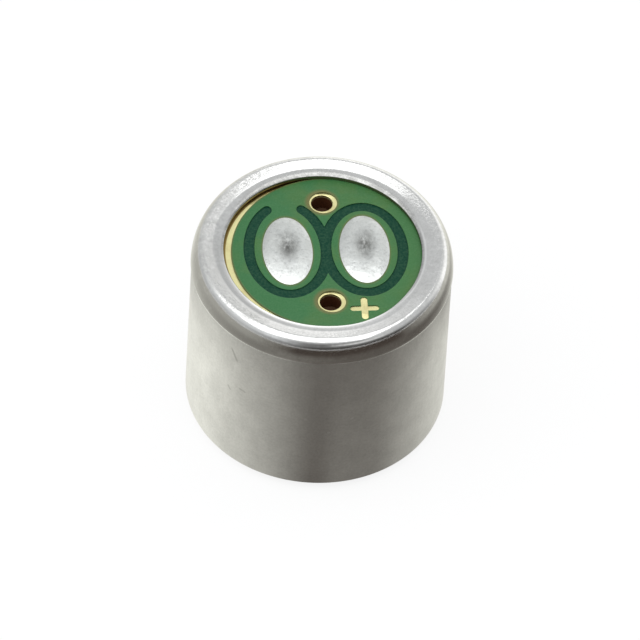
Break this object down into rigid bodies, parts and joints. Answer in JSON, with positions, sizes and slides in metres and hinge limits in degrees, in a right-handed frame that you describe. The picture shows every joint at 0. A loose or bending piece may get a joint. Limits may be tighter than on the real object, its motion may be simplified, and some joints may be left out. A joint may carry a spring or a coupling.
{
  "type": "electret microphone capsule",
  "caption": "Cylindrical electret microphone capsule: crimped aluminium case, rear-ported circuit board with domed solder pads and a polarity mark, and a dust cloth over the front.",
  "frame": {"origin": "centre of the outer face of the dust cloth, the face that the capsule stands on", "axes": "+Z along the case's axis towards the crimped rim and the solder pads; +Y away from the picture's camera, and +X to its right"},
  "size_m": [0.006, 0.006, 0.005],
  "materials": {
    "dust_cloth": "fine black non-woven cloth",
    "case_aluminium": "satin drawn aluminium with light scuffs",
    "brass": "turned brass",
    "metallised_film": "thin metallised film",
    "clear_film": "translucent polymer film",
    "felt": "grey felt",
    "moulded_plastic": "moulded black plastic",
    "contact_bronze": "plain contact bronze",
    "laminate": "cut glass-epoxy laminate",
    "plated_copper": "thin gold plating on copper",
    "solder_mask": "semi-gloss green lacquer, darker in the trenches",
    "solder": "dull frosted tin solder",
    "moulded_epoxy": "moulded black epoxy",
    "tinned_lead": "matt tin plate",
    "ceramic": "fired brown ceramic"
  },
  "bodies": {
    "root": {"dust_cloth": "dust_cloth", "case": "case_aluminium", "diaphragm_ring": "brass", "diaphragm": "metallised_film", "spacer": "clear_film", "electret_film": "clear_film", "back_plate": "brass", "rear_damper": "felt", "chamber_ring": "moulded_plastic", "gate_ring": "contact_bronze", "board_core": "laminate", "ground_copper": "plated_copper", "output_copper": "plated_copper", "gate_copper": "plated_copper", "solder_mask": "solder_mask", "ground_solder": "solder", "output_solder": "solder", "transistor_body": "moulded_epoxy", "gate_lead": "tinned_lead", "drain_lead": "tinned_lead", "source_lead": "tinned_lead", "output_capacitor": "ceramic", "output_capacitor_ends": "tinned_lead", "ground_capacitor": "ceramic", "ground_capacitor_ends": "tinned_lead", "inner_solder": "solder"}
  },
  "joints": []
}
